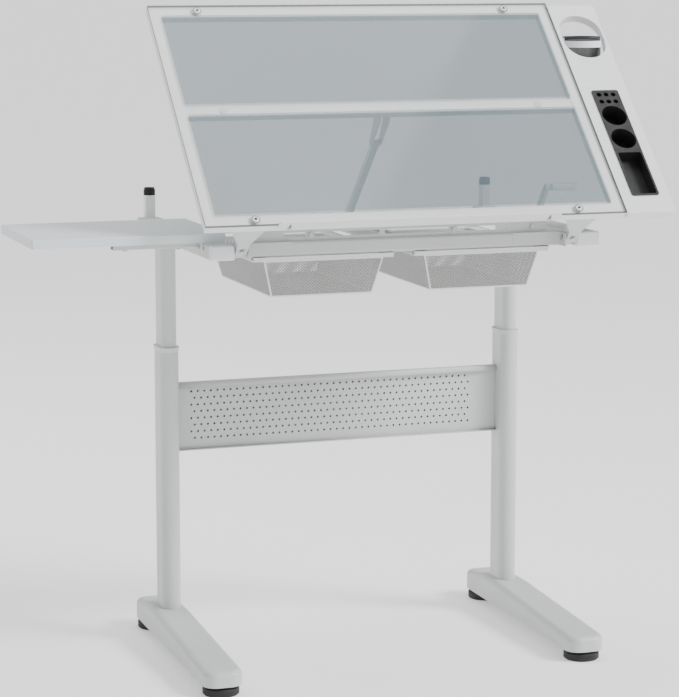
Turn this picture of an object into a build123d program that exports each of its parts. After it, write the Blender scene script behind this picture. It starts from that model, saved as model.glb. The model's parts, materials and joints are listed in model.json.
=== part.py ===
"""Sit-stand drafting table with a tilting glass board, two mesh drawers and a crank.

Frame: +Z up, +X to the user's right, -Y towards the user. The origin is on the
floor, midway between the two columns and on their common centre line.
"""

import os
from math import cos, radians, sin

from build123d import *

os.makedirs("parts", exist_ok=True)

# ---- driving dimensions, mm ----
COLUMN_X = 396.0  # centre of each column, rail, foot and rest post
COLUMN_OUTER = (42.0, 80.0)  # stadium section, X by Y
COLUMN_INNER = (34.0, 72.0)
TUBE_WALL = 2.0
COLUMN_FOOT_Z = 60.0
COLUMN_OUTER_TOP = 645.0
COLUMN_INNER_BOTTOM = 400.0

FOOT_FRONT = -463.0
FOOT_REAR = 152.0
FOOT_UNDERSIDE = 22.0
GLIDE_RADIUS = 38.0
GLIDE_HEIGHT = 17.0

RAIL_WIDTH = 50.0
RAIL_BOTTOM = 890.0
RAIL_TOP = 920.0
RAIL_FRONT = -431.0
RAIL_REAR = 140.0
RAIL_INNER_X = COLUMN_X - RAIL_WIDTH / 2
RAIL_OUTER_X = COLUMN_X + RAIL_WIDTH / 2

BEAM_FRONT = -408.0
BEAM_REAR = -378.0
SHAFT_Z = 897.0
SHAFT_RADIUS = 4.0

TILT_DEG = 44.0
HINGE_Y = -431.0
HINGE_Z = 910.0
HINGE_UP_BOARD = 18.0  # hinge foot, measured up the glass from its lower edge
HINGE_DROP = 98.0  # hinge axis below the glass top
GLASS_WIDTH = 900.0
GLASS_DEPTH = 600.0
GLASS_THICK = 6.0
FRAME_UNDERSIDE = -21.0  # below the glass top
FRAME_RAIL = 25.0

PROP_LENGTH = 275.0
PROP_PIN_RADIUS = 4.0
TRACK_BOTTOM = 902.0
TRACK_TOP = 918.0

PANEL_RIGHT = 561.0
PANEL_THICK = 18.0
CUP_X = 507.0
CUP_UP_BOARD = 497.0
ORGANIZER_X = 506.0

SIDE_BOARD_LEFT = -766.0
SIDE_BOARD_FRONT = -379.0
SIDE_BOARD_REAR = -75.0
SIDE_BOARD_TOP = 938.0

DRAWER_X = 172.0  # centre of each drawer
DRAWER_WIDTH = 300.0
DRAWER_DEPTH = 400.0
DRAWER_FRONT = -408.0
DRAWER_RIM_BOTTOM = 880.0
DRAWER_RIM_TOP = 889.0
BASKET_BOTTOM = 806.0

RUNNING = 0.06  # radial clearance of a pin that turns in its hole
SIDES = (-1, 1)

# ---- the board's own planes ----
tilt = radians(TILT_DEG)
board_origin = (
    0,
    HINGE_Y - HINGE_UP_BOARD * cos(tilt) - HINGE_DROP * sin(tilt),
    HINGE_Z - HINGE_UP_BOARD * sin(tilt) + HINGE_DROP * cos(tilt),
)
# BOARD: local x along the glass, local y up the slope, z out of the glass top.
BOARD = Plane(origin=board_origin, x_dir=(1, 0, 0), z_dir=(0, -sin(tilt), cos(tilt)))
# BOARD_SIDE: local x up the slope, local y out of the glass, z along +X.
BOARD_SIDE = Plane(origin=board_origin, x_dir=(0, cos(tilt), sin(tilt)), z_dir=(1, 0, 0))
# BOARD_EDGE: local x along -X, local y out of the glass, z up the slope.
BOARD_EDGE = Plane(origin=board_origin, x_dir=(-1, 0, 0), z_dir=(0, cos(tilt), sin(tilt)))


def save(piece, name):
    """Label a finished piece and write its STEP file."""
    piece.part.label = name
    export_step(piece.part, f"parts/{name}.step")


def span(low, high, low2, high2):
    """Rectangle between two pairs of limits, added to the open sketch."""
    with Locations(((low + high) / 2, (low2 + high2) / 2)):
        return Rectangle(high - low, high2 - low2)


def stadium(x, section, y=0.0):
    """Column section with its long way along Y, added to the open sketch."""
    with Locations((x, y)):
        return SlotOverall(section[1], section[0], rotation=90)


# ---- feet ----
FOOT_INNER = 36.0  # column centre to the straight inner edge
FOOT_OUTER_FRONT = 49.0  # column centre to the outer edge, which splays forwards
FOOT_OUTER_REAR = 41.0
FOOT_CORNER = 30.0
FOOT_FILLET = 13.0
FOOT_FRONT_TOP = 54.0
FOOT_CREST = 77.0
FOOT_CREASE_Y = -60.0  # where the sloping top meets the arched one
FOOT_REAR_TOP = 62.0
FOOT_WALL = 5.0
FOOT_POST_RADIUS = 12.0
SEAT_BOTTOM = 44.0
SEAT_TOP = 73.0
STEM_RADIUS = 5.0
STEM_TOP = 42.0
FOOT_BOLT_Y = 27.0
FOOT_BOLT_HOLE = 4.1
# Glides: outward shift from the column's centre line, Y, and the top of the post.
FRONT_GLIDE = (6.0, FOOT_FRONT + GLIDE_RADIUS, 53.0)
REAR_GLIDE = (3.0, FOOT_REAR - GLIDE_RADIUS, 64.5)


def foot_body(wall, bottom):
    """Arched body on a splayed plan with round corners, drawn in all round by a wall."""
    with BuildPart() as body:
        with BuildSketch(Plane.YZ):
            with BuildLine():
                front_top = FOOT_FRONT_TOP - wall
                rear_top = FOOT_REAR_TOP - wall
                crest = FOOT_CREST - wall
                Line((FOOT_FRONT, front_top), (FOOT_CREASE_Y, crest))
                ThreePointArc((FOOT_CREASE_Y, crest), (40, crest - 1), (FOOT_REAR, rear_top))
                Polyline(
                    (FOOT_REAR, rear_top),
                    (FOOT_REAR, bottom),
                    (FOOT_FRONT, bottom),
                    (FOOT_FRONT, front_top),
                )
            make_face()
        extrude(amount=FOOT_OUTER_FRONT + 10, both=True)
        with BuildSketch(Plane.XY.offset(bottom)) as plan:
            Polygon(
                (wall - FOOT_INNER, FOOT_FRONT + wall),
                (FOOT_OUTER_FRONT - wall, FOOT_FRONT + wall),
                (FOOT_OUTER_REAR - wall, FOOT_REAR - wall),
                (wall - FOOT_INNER, FOOT_REAR - wall),
                align=None,
            )
            fillet(plan.vertices(), FOOT_CORNER - wall)
        extrude(amount=100, mode=Mode.INTERSECT)
        if wall == 0:
            level = body.edges().filter_by(lambda e: abs(e.tangent_at(0.5).Z) < 0.5)
            top = level.filter_by(lambda e: e.center().Z > FOOT_FRONT_TOP - 4)
            fillet(top.filter_by(lambda e: abs(e.center().Y - FOOT_CREASE_Y) > 1), FOOT_FILLET)
    return body.part


def make_foot(side, name):
    """One foot: shell, column seat and two threaded glide posts."""
    post_places = (FRONT_GLIDE[:2], REAR_GLIDE[:2])
    with BuildPart() as foot:
        add(foot_body(0, FOOT_UNDERSIDE))
        add(foot_body(FOOT_WALL, FOOT_UNDERSIDE - 10), mode=Mode.SUBTRACT)
        with BuildSketch(Plane.XY.offset(SEAT_BOTTOM)):
            stadium(0, (60, 104))
        extrude(amount=SEAT_TOP - SEAT_BOTTOM)
        for post_x, post_y, post_top in (FRONT_GLIDE, REAR_GLIDE):
            with BuildSketch(Plane.XY.offset(FOOT_UNDERSIDE)):
                with Locations((post_x, post_y)):
                    Circle(FOOT_POST_RADIUS)
            extrude(amount=post_top - FOOT_UNDERSIDE)
        with BuildSketch(Plane.XY.offset(FOOT_UNDERSIDE)):
            with Locations(*post_places):
                Circle(STEM_RADIUS + RUNNING)
        extrude(amount=STEM_TOP + 4 - FOOT_UNDERSIDE, mode=Mode.SUBTRACT)
        with BuildSketch(Plane.XY.offset(COLUMN_FOOT_Z)):
            stadium(0, COLUMN_OUTER)
        extrude(amount=40, mode=Mode.SUBTRACT)
        with BuildSketch(Plane.XY.offset(FOOT_UNDERSIDE)):
            with Locations((0, -FOOT_BOLT_Y), (0, FOOT_BOLT_Y)):
                Circle(FOOT_BOLT_HOLE)
        extrude(amount=50, mode=Mode.SUBTRACT)
    shape = foot.part if side > 0 else mirror(foot.part, about=Plane.YZ)
    with BuildPart() as placed_foot:
        with Locations((side * COLUMN_X, 0, 0)):
            add(shape)
    save(placed_foot, name)


make_foot(-1, "foot_left")
make_foot(1, "foot_right")


def make_glide(side, place, name):
    """Round black levelling pad with its threaded stem."""
    centre = (side * (COLUMN_X + place[0]), place[1])
    with BuildPart() as glide:
        with BuildSketch(Plane.XY):
            with Locations(centre):
                Circle(GLIDE_RADIUS)
        extrude(amount=GLIDE_HEIGHT)
        fillet(glide.edges().filter_by(GeomType.CIRCLE).sort_by(Axis.Z)[-1], 3)
        chamfer(glide.edges().filter_by(GeomType.CIRCLE).sort_by(Axis.Z)[0], 3)
        with BuildSketch(Plane.XY.offset(GLIDE_HEIGHT)):
            with Locations(centre):
                Circle(STEM_RADIUS)
        extrude(amount=STEM_TOP - GLIDE_HEIGHT)
    save(glide, name)


make_glide(-1, FRONT_GLIDE, "glide_front_left")
make_glide(-1, REAR_GLIDE, "glide_rear_left")
make_glide(1, FRONT_GLIDE, "glide_front_right")
make_glide(1, REAR_GLIDE, "glide_rear_right")

# ---- columns ----
BASE_PLATE = 4.0
PILLAR_RADIUS = 12.0
NUT_RADIUS = 9.0
NUT_BOTTOM = 560.0
NUT_TOP = 590.0
SCREW_RADIUS = 6.0


def make_outer_column(side, name):
    """Lower column tube with a welded base plate."""
    with BuildPart() as column:
        with BuildSketch(Plane.XY.offset(COLUMN_FOOT_Z)):
            stadium(side * COLUMN_X, COLUMN_OUTER)
        extrude(amount=COLUMN_OUTER_TOP - COLUMN_FOOT_Z)
        with BuildSketch(Plane.XY.offset(COLUMN_FOOT_Z + BASE_PLATE)):
            stadium(side * COLUMN_X, [size - 2 * TUBE_WALL for size in COLUMN_OUTER])
        extrude(amount=COLUMN_OUTER_TOP - COLUMN_FOOT_Z, mode=Mode.SUBTRACT)
        with BuildSketch(Plane.XY.offset(COLUMN_FOOT_Z)):
            with Locations((side * COLUMN_X, -FOOT_BOLT_Y), (side * COLUMN_X, FOOT_BOLT_Y)):
                Circle(FOOT_BOLT_HOLE)
        extrude(amount=BASE_PLATE, mode=Mode.SUBTRACT)
    save(column, name)


def make_inner_column(side, name):
    """Upper column tube, welded under its rail."""
    with BuildPart() as column:
        with BuildSketch(Plane.XY.offset(COLUMN_INNER_BOTTOM)):
            stadium(side * COLUMN_X, COLUMN_INNER)
        extrude(amount=RAIL_BOTTOM - COLUMN_INNER_BOTTOM)
        with BuildSketch(Plane.XY.offset(COLUMN_INNER_BOTTOM)):
            stadium(side * COLUMN_X, [size - 2 * TUBE_WALL for size in COLUMN_INNER])
        extrude(amount=RAIL_BOTTOM - COLUMN_INNER_BOTTOM, mode=Mode.SUBTRACT)
    save(column, name)


make_outer_column(-1, "column_outer_left")
make_outer_column(1, "column_outer_right")
make_inner_column(-1, "column_inner_left")
make_inner_column(1, "column_inner_right")

# Plastic collars: a sleeve inside each outer tube and a flared lip on its top.
LIP_BOTTOM = COLUMN_OUTER_TOP
LIP_TOP = 655.0
LIP_PROUD = 4.5
SLEEVE_BOTTOM = 600.0
with BuildPart() as collars:
    for side in SIDES:
        x = side * COLUMN_X
        with BuildSketch(Plane.XY.offset(LIP_BOTTOM)):
            stadium(x, COLUMN_OUTER)
        with BuildSketch(Plane.XY.offset(LIP_TOP)):
            stadium(x, [size + LIP_PROUD for size in COLUMN_OUTER])
        loft()
        with BuildSketch(Plane.XY.offset(SLEEVE_BOTTOM)):
            stadium(x, [size - 2 * TUBE_WALL for size in COLUMN_OUTER])
        extrude(amount=LIP_BOTTOM - SLEEVE_BOTTOM)
        with BuildSketch(Plane.XY.offset(SLEEVE_BOTTOM)):
            stadium(x, [size + 2 * RUNNING for size in COLUMN_INNER])
        extrude(amount=LIP_TOP - SLEEVE_BOTTOM, mode=Mode.SUBTRACT)
save(collars, "column_collars")

# Tubes that stand in the outer columns and hold the fixed nuts.
with BuildPart() as pillars:
    with BuildSketch(Plane.XY.offset(COLUMN_FOOT_Z + BASE_PLATE)):
        with Locations((-COLUMN_X, 0), (COLUMN_X, 0)):
            Circle(PILLAR_RADIUS)
            Circle(NUT_RADIUS, mode=Mode.SUBTRACT)
    extrude(amount=NUT_TOP - COLUMN_FOOT_Z - BASE_PLATE)
save(pillars, "nut_pillars")

with BuildPart() as nuts:
    with BuildSketch(Plane.XY.offset(NUT_BOTTOM)):
        with Locations((-COLUMN_X, 0), (COLUMN_X, 0)):
            Circle(NUT_RADIUS)
            Circle(SCREW_RADIUS + RUNNING, mode=Mode.SUBTRACT)
    extrude(amount=NUT_TOP - NUT_BOTTOM)
save(nuts, "lead_nuts")

BOLT_HEAD = 6.0
with BuildPart() as foot_bolts:
    bolt_places = [(s * COLUMN_X, t * FOOT_BOLT_Y) for s in SIDES for t in SIDES]
    with BuildSketch(Plane.XY.offset(SEAT_BOTTOM - BOLT_HEAD)):
        with Locations(*bolt_places):
            RegularPolygon(7, 6)
    extrude(amount=BOLT_HEAD)
    with BuildSketch(Plane.XY.offset(SEAT_BOTTOM)):
        with Locations(*bolt_places):
            Circle(4)
    extrude(amount=COLUMN_FOOT_Z + BASE_PLATE - SEAT_BOTTOM + 3)
save(foot_bolts, "foot_bolts")

# ---- modesty panel: a shallow tray of sheet steel, open to the front ----
PANEL_HALF = COLUMN_X - COLUMN_OUTER[0] / 2 - 0.4
PANEL_BOTTOM = 421.0
PANEL_TOP = 571.5
PANEL_Y = 12.0
PANEL_LEDGE = 16.0
PANEL_LIP = 11.0
PANEL_SKIN_Y = 4.0  # front skin, with the rear sheet behind it
SHEET = 1.5
PANEL_SCREW_X = 366.0
PANEL_SCREW_ZS = (545.0, 453.0)
SCREW_HOLE = 2.6
with BuildPart() as modesty_panel:
    with BuildSketch(Plane.YZ):
        lip_front = PANEL_Y - PANEL_LEDGE
        span(PANEL_Y, PANEL_Y + SHEET, PANEL_BOTTOM, PANEL_TOP)
        span(PANEL_SKIN_Y, PANEL_SKIN_Y + SHEET, PANEL_BOTTOM, PANEL_TOP)
        span(lip_front, PANEL_Y, PANEL_TOP - SHEET, PANEL_TOP)
        span(lip_front, PANEL_Y, PANEL_BOTTOM, PANEL_BOTTOM + SHEET)
        span(lip_front, lip_front + SHEET, PANEL_TOP - PANEL_LIP, PANEL_TOP)
    extrude(amount=PANEL_HALF, both=True)
    with BuildSketch(Plane.XZ.offset(-PANEL_Y - SHEET)):
        with Locations(*[(s * PANEL_SCREW_X, z) for s in SIDES for z in PANEL_SCREW_ZS]):
            Circle(SCREW_HOLE)
    extrude(amount=SHEET, mode=Mode.SUBTRACT)
save(modesty_panel, "modesty_panel")

TAB_THICK = 3.0
TAB_REAR = PANEL_Y + SHEET + TAB_THICK
with BuildPart() as panel_tabs:
    for side in SIDES:
        with BuildSketch(Plane.XZ.offset(-TAB_REAR)):
            edge = COLUMN_X - COLUMN_OUTER[0] / 2
            span(*sorted((side * 350, side * edge)), PANEL_BOTTOM + 15, PANEL_TOP - 15)
            with Locations(*[(side * PANEL_SCREW_X, z) for z in PANEL_SCREW_ZS]):
                Circle(SCREW_HOLE, mode=Mode.SUBTRACT)
        extrude(amount=TAB_THICK)
save(panel_tabs, "panel_tabs")

with BuildPart() as panel_screws:
    places = [(s * PANEL_SCREW_X, z) for s in SIDES for z in PANEL_SCREW_ZS]
    with BuildSketch(Plane.XZ.offset(-TAB_REAR)):
        with Locations(*places):
            Circle(5)
    extrude(amount=-3)
    fillet(panel_screws.edges().filter_by(GeomType.CIRCLE).group_by(Axis.Y)[-1], 1.5)
    with BuildSketch(Plane.XZ.offset(-TAB_REAR)):
        with Locations(*places):
            Circle(2.5)
    extrude(amount=TAB_THICK + SHEET + 2)
save(panel_screws, "panel_screws")

# ---- rails, beams and what stands on them ----
BUSH_RADIUS = 4.9
REAR_TIE = (90.0, 130.0, 893.0, 899.0)
POST_Y = 129.0


def make_rail(side, name):
    """Box-section side rail with shaft holes and an opening over the column."""
    with BuildPart() as rail:
        with BuildSketch(Plane.XZ.offset(-RAIL_REAR)):
            with Locations((side * COLUMN_X, (RAIL_BOTTOM + RAIL_TOP) / 2)):
                RectangleRounded(RAIL_WIDTH, RAIL_TOP - RAIL_BOTTOM, 4)
                inside = [RAIL_WIDTH - 2 * TUBE_WALL, RAIL_TOP - RAIL_BOTTOM - 2 * TUBE_WALL]
                RectangleRounded(*inside, 2, mode=Mode.SUBTRACT)
        extrude(amount=RAIL_REAR - RAIL_FRONT)
        with BuildSketch(Plane.XY.offset(RAIL_BOTTOM)):
            stadium(side * COLUMN_X, (28.0, 52.0))
        extrude(amount=TUBE_WALL, mode=Mode.SUBTRACT)
        with BuildSketch(Plane.YZ.offset(side * COLUMN_X)):
            with Locations((0, SHAFT_Z)):
                Circle(BUSH_RADIUS)
        extrude(amount=RAIL_WIDTH / 2, both=True, mode=Mode.SUBTRACT)
    save(rail, name)


make_rail(-1, "rail_left")
make_rail(1, "rail_right")

with BuildPart() as rail_caps:
    for side in SIDES:
        with BuildSketch(Plane.XZ.offset(-RAIL_FRONT)):
            with Locations((side * COLUMN_X, (RAIL_BOTTOM + RAIL_TOP) / 2)):
                RectangleRounded(RAIL_WIDTH, RAIL_TOP - RAIL_BOTTOM, 4)
        extrude(amount=12)
        with BuildSketch(Plane.XZ.offset(-RAIL_REAR)):
            with Locations((side * COLUMN_X, (RAIL_BOTTOM + RAIL_TOP) / 2)):
                RectangleRounded(RAIL_WIDTH, RAIL_TOP - RAIL_BOTTOM, 4)
        extrude(amount=-2)
    fillet(rail_caps.faces().sort_by(Axis.Y)[0:2].edges(), 3)
save(rail_caps, "rail_caps")

with BuildPart() as front_beam:
    with BuildSketch(Plane.YZ):
        with Locations(((BEAM_FRONT + BEAM_REAR) / 2, (RAIL_BOTTOM + RAIL_TOP) / 2)):
            beam_size = [BEAM_REAR - BEAM_FRONT, RAIL_TOP - RAIL_BOTTOM]
            RectangleRounded(*beam_size, 6)
            RectangleRounded(*[size - 2 * TUBE_WALL for size in beam_size], 4, mode=Mode.SUBTRACT)
    extrude(amount=RAIL_INNER_X, both=True)
save(front_beam, "front_beam")

with BuildPart() as rear_tie:
    with BuildSketch(Plane.XY.offset(REAR_TIE[2])):
        span(-RAIL_INNER_X, RAIL_INNER_X, REAR_TIE[0], REAR_TIE[1])
    extrude(amount=REAR_TIE[3] - REAR_TIE[2])
save(rear_tie, "rear_tie")

# Upright apron on the front beam, with finger-wide windows.
APRON_HALF = 318.0
APRON_TOP = 942.0
APRON_Y = -400.0
APRON_THICK = 3.0
APRON_SCREW_Z = 931.5
APRON_SCREW_XS = (-200.0, 110.0, 285.0)
APRON_WINDOWS = ((-257.0, -208.0), (-192.0, -50.0), (-40.0, 102.0), (118.0, 230.0))
with BuildPart() as apron:
    with BuildSketch(Plane.XZ.offset(-APRON_Y - APRON_THICK)):
        span(-APRON_HALF, APRON_HALF, RAIL_TOP, APRON_TOP)
        for low, high in APRON_WINDOWS:
            with Locations(((low + high) / 2, APRON_SCREW_Z)):
                SlotOverall(high - low, 9, mode=Mode.SUBTRACT)
        with Locations(*[(x, APRON_SCREW_Z) for x in APRON_SCREW_XS]):
            Circle(SCREW_HOLE, mode=Mode.SUBTRACT)
    extrude(amount=APRON_THICK)
save(apron, "apron")

# ---- hinge lugs: bent plates from the beam face to the hinge pins ----
LUG_X = (341.0, 344.0)
LUG_SHEET = 3.0
LUG_BEND = 14.0
LUG_TOP = 919.0
LUG_BOTTOM = 892.0
LUG_FRONT = -447.0
LUG_ROOT = 240.0  # where the plate runs out to nothing along the beam
LUG_ROOT_THICK = 0.4
PIN_RADIUS = 4.0
PIN_HEAD_RADIUS = 6.0
PIN_HEAD = 2.5
with BuildPart() as hinge_lugs:
    for side in SIDES:
        with BuildSketch(Plane.XY.offset(LUG_BOTTOM)):
            with BuildLine():
                bend_x = side * (LUG_X[1] - LUG_BEND)
                bend_y = BEAM_FRONT - LUG_BEND
                plate_y = BEAM_FRONT - LUG_SHEET
                inner_bend = LUG_BEND - LUG_SHEET
                half = sin(radians(45))
                Line((side * LUG_ROOT, BEAM_FRONT), (bend_x, BEAM_FRONT))
                ThreePointArc(
                    (bend_x, BEAM_FRONT),
                    (bend_x + side * LUG_BEND * half, bend_y + LUG_BEND * half),
                    (side * LUG_X[1], bend_y),
                )
                Polyline(
                    (side * LUG_X[1], bend_y),
                    (side * LUG_X[1], LUG_FRONT),
                    (side * LUG_X[0], LUG_FRONT),
                    (side * LUG_X[0], bend_y),
                )
                ThreePointArc(
                    (side * LUG_X[0], bend_y),
                    (bend_x + side * inner_bend * half, bend_y + inner_bend * half),
                    (bend_x, plate_y),
                )
                Polyline(
                    (bend_x, plate_y),
                    (side * LUG_ROOT, BEAM_FRONT - LUG_ROOT_THICK),
                    (side * LUG_ROOT, BEAM_FRONT),
                )
            make_face()
        extrude(amount=LUG_TOP - LUG_BOTTOM)
    with BuildSketch(Plane.YZ):
        with Locations((HINGE_Y, HINGE_Z)):
            Circle(PIN_RADIUS)
    extrude(amount=RAIL_INNER_X, both=True, mode=Mode.SUBTRACT)
save(hinge_lugs, "hinge_lugs")

with BuildPart() as hinge_pins:
    for side in SIDES:
        with BuildSketch(Plane.YZ.offset(side * RAIL_INNER_X)):
            with Locations((HINGE_Y, HINGE_Z)):
                Circle(PIN_RADIUS)
        extrude(amount=-side * (RAIL_INNER_X - LUG_X[0] + 1))
        with BuildSketch(Plane.YZ.offset(side * LUG_X[0])):
            with Locations((HINGE_Y, HINGE_Z)):
                Circle(PIN_HEAD_RADIUS)
        extrude(amount=-side * PIN_HEAD)
save(hinge_pins, "hinge_pins")

# ---- shaft bushes, screw bearings and runners ----
with BuildPart() as shaft_bushes:
    walls = (
        (-RAIL_INNER_X, 1),
        (RAIL_INNER_X, -1),
        (RAIL_OUTER_X, 1),
        (-RAIL_OUTER_X, -1),
    )
    for wall_x, out in walls:
        with BuildSketch(Plane.YZ.offset(wall_x)):
            with Locations((0, SHAFT_Z)):
                Circle(7)
        extrude(amount=out * 1.5)
        with BuildSketch(Plane.YZ.offset(wall_x)):
            with Locations((0, SHAFT_Z)):
                Circle(BUSH_RADIUS)
        extrude(amount=-out * TUBE_WALL)
        with BuildSketch(Plane.YZ.offset(wall_x)):
            with Locations((0, SHAFT_Z)):
                Circle(SHAFT_RADIUS + RUNNING)
        extrude(amount=2 * TUBE_WALL, both=True, mode=Mode.SUBTRACT)
save(shaft_bushes, "shaft_bushes")

BEARING_BOTTOM = 862.0
BEARING_TOP = 882.0
with BuildPart() as screw_bearings:
    with BuildSketch(Plane.XY.offset(BEARING_BOTTOM)):
        for side in SIDES:
            stadium(side * COLUMN_X, (29.8, 67.8))
        with Locations((-COLUMN_X, 0), (COLUMN_X, 0)):
            Circle(SCREW_RADIUS + RUNNING, mode=Mode.SUBTRACT)
    extrude(amount=BEARING_TOP - BEARING_BOTTOM)
save(screw_bearings, "screw_bearings")

RUNNER_BACK = 128.0
RUNNER_LIP = (883.7, 885.3)
with BuildPart() as drawer_runners:
    for drawer in SIDES:
        for edge in SIDES:
            web = drawer * DRAWER_X + edge * (DRAWER_WIDTH / 2 + 2)
            tip = web - edge * 9
            with BuildSketch(Plane.XZ.offset(-RUNNER_BACK)):
                span(web - 1, web + 1, RUNNER_LIP[0], RAIL_BOTTOM)
                span(*sorted((web, tip)), *RUNNER_LIP)
            extrude(amount=RUNNER_BACK - DRAWER_FRONT - 8)
            with BuildSketch(Plane.XZ.offset(-RUNNER_BACK)):
                span(web - 1, web + 1, RAIL_BOTTOM, REAR_TIE[2])
            extrude(amount=RUNNER_BACK - REAR_TIE[0] - 2)
save(drawer_runners, "drawer_runners")

# ---- rest posts ----
POST_TOP = 970.0
REST_TOP = 987.0
with BuildPart() as rest_posts:
    with BuildSketch(Plane.XY.offset(RAIL_TOP)):
        with Locations((-COLUMN_X, POST_Y), (COLUMN_X, POST_Y)):
            RectangleRounded(22, 22, 3)
    extrude(amount=POST_TOP - RAIL_TOP)
save(rest_posts, "rest_posts")

with BuildPart() as rest_pads:
    for side in SIDES:
        for z in (POST_TOP, POST_TOP + 4.5, POST_TOP + 9):
            with BuildSketch(Plane.XY.offset(z)):
                with Locations((side * COLUMN_X, POST_Y)):
                    Circle(13)
            extrude(amount=3)
        with BuildSketch(Plane.XY.offset(POST_TOP)):
            with Locations((side * COLUMN_X, POST_Y)):
                Circle(11.5)
        extrude(amount=REST_TOP - POST_TOP - 0.4)
save(rest_pads, "rest_pads")

# ---- fixed side board on the left, on two bars from the rail ----
BAR_YS = (-340.0, -110.0)
BAR_BOTTOM = 908.0
BAR_LEFT = -596.0
BOARD_SCREW_XS = (-570.0, -460.0)
with BuildPart() as side_board:
    with BuildSketch(Plane.XY.offset(RAIL_TOP)):
        with Locations(
            ((SIDE_BOARD_LEFT - RAIL_INNER_X) / 2, (SIDE_BOARD_FRONT + SIDE_BOARD_REAR) / 2)
        ):
            RectangleRounded(-SIDE_BOARD_LEFT - RAIL_INNER_X, SIDE_BOARD_REAR - SIDE_BOARD_FRONT, 4)
    extrude(amount=SIDE_BOARD_TOP - RAIL_TOP)
    fillet(side_board.faces().sort_by(Axis.Z)[-1].edges(), 1.5)
    with BuildSketch(Plane.XY.offset(RAIL_TOP)):
        with Locations(*[(x, y) for x in BOARD_SCREW_XS for y in BAR_YS]):
            Circle(2)
    extrude(amount=11, mode=Mode.SUBTRACT)
save(side_board, "side_board")

with BuildPart() as side_board_bars:
    for y in BAR_YS:
        with BuildSketch(Plane.YZ.offset(BAR_LEFT)):
            with Locations((y, (BAR_BOTTOM + RAIL_TOP) / 2)):
                RectangleRounded(25, RAIL_TOP - BAR_BOTTOM, 2)
                Rectangle(22, RAIL_TOP - BAR_BOTTOM - 3, mode=Mode.SUBTRACT)
        extrude(amount=-RAIL_OUTER_X - BAR_LEFT)
    with BuildSketch(Plane.XY.offset(BAR_BOTTOM)):
        with Locations(*[(x, y) for x in BOARD_SCREW_XS for y in BAR_YS]):
            Circle(2.1)
    extrude(amount=RAIL_TOP - BAR_BOTTOM, mode=Mode.SUBTRACT)
save(side_board_bars, "side_board_bars")

with BuildPart() as frame_screws:
    places = [(x, y) for x in BOARD_SCREW_XS for y in BAR_YS]
    with BuildSketch(Plane.XY.offset(BAR_BOTTOM - 3)):
        with Locations(*places):
            Circle(5)
    extrude(amount=3)
    with BuildSketch(Plane.XY.offset(BAR_BOTTOM)):
        with Locations(*places):
            Circle(2)
    extrude(amount=RAIL_TOP + 10 - BAR_BOTTOM)
    with BuildSketch(Plane.XZ.offset(-APRON_Y)):
        with Locations(*[(x, APRON_SCREW_Z) for x in APRON_SCREW_XS]):
            Circle(2.5)
    extrude(amount=APRON_THICK + 0.01)
    with BuildSketch(Plane.XZ.offset(-APRON_Y + APRON_THICK)):
        with Locations(*[(x, APRON_SCREW_Z) for x in APRON_SCREW_XS]):
            Circle(4)
    extrude(amount=2.5)
    for offset_y in (-391.0, -360.0):
        for side in SIDES:
            with BuildSketch(Plane.YZ.offset(side * RAIL_OUTER_X)):
                with Locations((offset_y, HINGE_Z)):
                    Circle(4)
            extrude(amount=side * 2.5)
save(frame_screws, "frame_screws")

# ---- prop and its track: the foot slides as the board tilts ----
PROP_PLATE = 12.0
PROP_HALF = 7.0
CLEVIS_X = (8.5, 11.5)
ROLLER_RADIUS = 5.7
ROLLER_X = (14.0, 20.0)
PROP_UP_BOARD = HINGE_UP_BOARD + PROP_LENGTH
prop_top = BOARD_SIDE.from_local_coords((PROP_UP_BOARD, -HINGE_DROP, 0))
PROP_FOOT_Y = HINGE_Y + 2 * PROP_LENGTH * cos(tilt)
# PROP: local x along the prop towards its foot, z along +X.
PROP = Plane(origin=prop_top, x_dir=(0, cos(tilt), -sin(tilt)), z_dir=(1, 0, 0))

with BuildPart() as prop_track:
    for side in SIDES:
        with BuildSketch(Plane.XZ.offset(-132)):
            span(*sorted((side * 21, side * 23)), TRACK_BOTTOM, TRACK_TOP)
            span(*sorted((side * 13.5, side * 21)), TRACK_BOTTOM, TRACK_BOTTOM + 2)
            span(*sorted((side * 13.5, side * 21)), TRACK_TOP - 2, TRACK_TOP)
        extrude(amount=132 - BEAM_REAR)
        with BuildSketch(Plane.XY.offset(REAR_TIE[3])):
            span(*sorted((side * 14, side * 23)), REAR_TIE[0], REAR_TIE[1])
        extrude(amount=TRACK_BOTTOM - REAR_TIE[3])
save(prop_track, "prop_track")

with BuildPart() as prop_bar:
    with BuildSketch(PROP.offset(-PROP_HALF)):
        with Locations((PROP_LENGTH / 2, 0)):
            SlotCenterToCenter(PROP_LENGTH, PROP_PLATE)
        with Locations((0, 0)):
            Circle(PROP_PIN_RADIUS + RUNNING, mode=Mode.SUBTRACT)
        with Locations((PROP_LENGTH, 0)):
            Circle(3, mode=Mode.SUBTRACT)
    extrude(amount=2 * PROP_HALF)
save(prop_bar, "prop_bar")

with BuildPart() as prop_foot:
    with BuildSketch(Plane.YZ):
        with Locations((PROP_FOOT_Y, HINGE_Z)):
            Circle(3)
    extrude(amount=ROLLER_X[1], both=True)
    for side in SIDES:
        with BuildSketch(Plane.YZ.offset(side * ROLLER_X[0])):
            with Locations((PROP_FOOT_Y, HINGE_Z)):
                Circle(ROLLER_RADIUS)
        extrude(amount=side * (ROLLER_X[1] - ROLLER_X[0]))
save(prop_foot, "prop_foot")

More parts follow.
